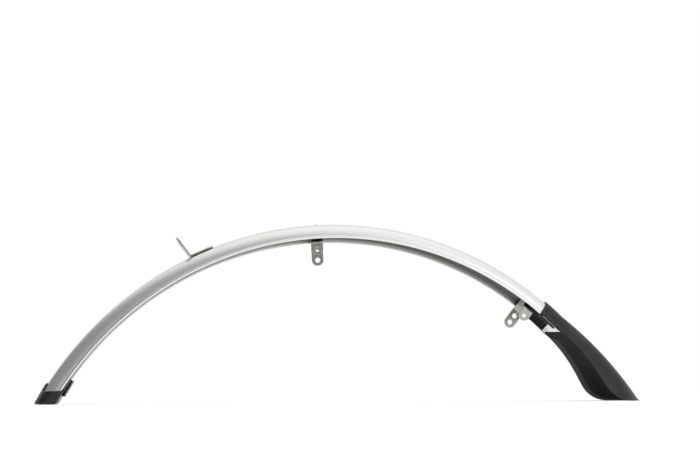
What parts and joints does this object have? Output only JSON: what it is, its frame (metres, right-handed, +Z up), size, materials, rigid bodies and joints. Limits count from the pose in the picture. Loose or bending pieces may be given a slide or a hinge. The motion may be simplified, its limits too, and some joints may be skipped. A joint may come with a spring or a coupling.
{
  "type": "bicycle mudguard",
  "caption": "front bicycle mudguard: rolled aluminium blade with beaded edges, fork bracket, stay brackets, end cap and flared mud flap",
  "frame": {"origin": "on the ground midway between the front of the end cap and the tip of the mud flap, in the middle of the width", "axes": "+X runs from the front end cap to the mud flap, +Y across the blade, +Z up; the guard stands as an arch on its cap and its flap"},
  "size_m": [0.6739, 0.0814, 0.1975],
  "materials": {
    "blade": "rolled strip, satin anodised outside, brighter inside",
    "front_end_cap": "black moulding with a fine grain",
    "fork_bracket": "zinc plated strip",
    "fork_bracket_rivets": "bright domed heads",
    "front_stay_bracket": "bright zinc plated strip",
    "front_stay_rivet": "bright domed head",
    "rear_stay_bracket": "bright zinc plated strip",
    "rear_stay_rivet": "bright domed head",
    "mud_flap": "black moulding, smooth with a soft sheen",
    "flap_rivet": "bright domed head"
  },
  "bodies": {
    "root": {"blade": "blade", "front_end_cap": "front_end_cap", "fork_bracket": "fork_bracket", "fork_bracket_rivets": "fork_bracket_rivets", "front_stay_bracket": "front_stay_bracket", "front_stay_rivet": "front_stay_rivet", "rear_stay_bracket": "rear_stay_bracket", "rear_stay_rivet": "rear_stay_rivet", "mud_flap": "mud_flap", "flap_rivet": "flap_rivet"}
  },
  "joints": []
}
